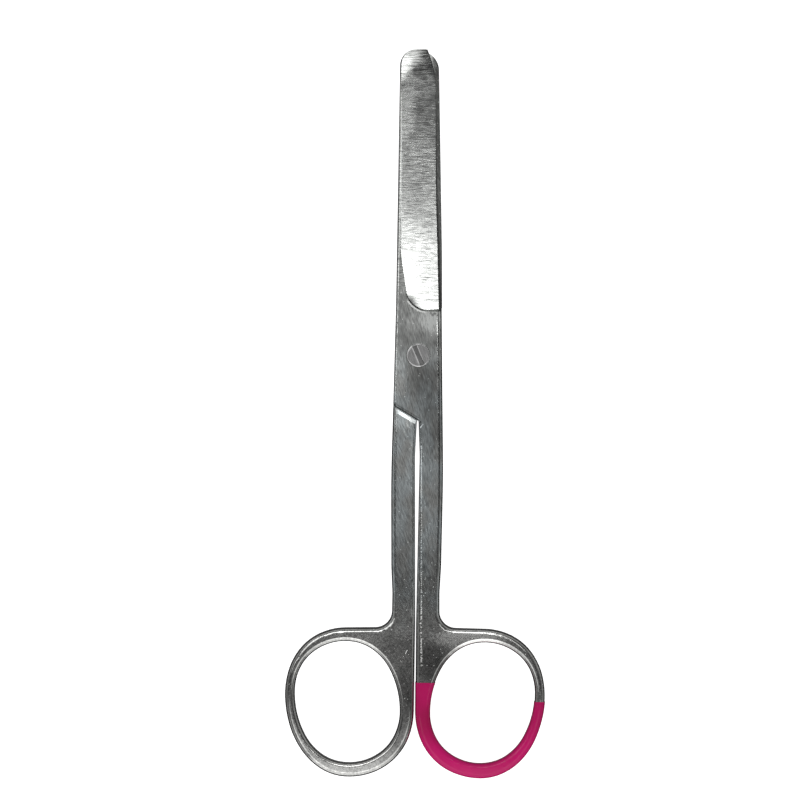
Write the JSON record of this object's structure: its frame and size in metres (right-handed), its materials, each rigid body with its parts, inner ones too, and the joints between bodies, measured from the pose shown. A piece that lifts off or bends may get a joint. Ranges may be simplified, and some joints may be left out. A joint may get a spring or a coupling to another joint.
{
  "type": "surgical scissors",
  "caption": "Straight blunt-tipped operating scissors: two lapped steel halves on a slotted screw, one finger bow partly coated pink.",
  "frame": {"origin": "on the pivot's axis, in the plane of the scissors' underside", "axes": "+Y along the closed blades towards the tips, +Z out of the upper face, +X towards the front half's bow"},
  "size_m": [0.0518, 0.1451, 0.004],
  "materials": {
    "front_steel": "satin brushed",
    "rear_steel": "satin brushed",
    "screw_steel": "turned, ground flush",
    "pink_coating": "glossy dipped coating"
  },
  "bodies": {
    "rear": {"rear_half": "rear_steel", "pivot_screw": "screw_steel"},
    "front": {"front_half": "front_steel", "bow_coating": "pink_coating"}
  },
  "joints": [
    {"name": "opening", "type": "hinge", "parent": "rear", "child": "front", "pos_m": [0, 0, 0.002], "axis": [0, 0, 1], "range_deg": [0, 120]}
  ]
}
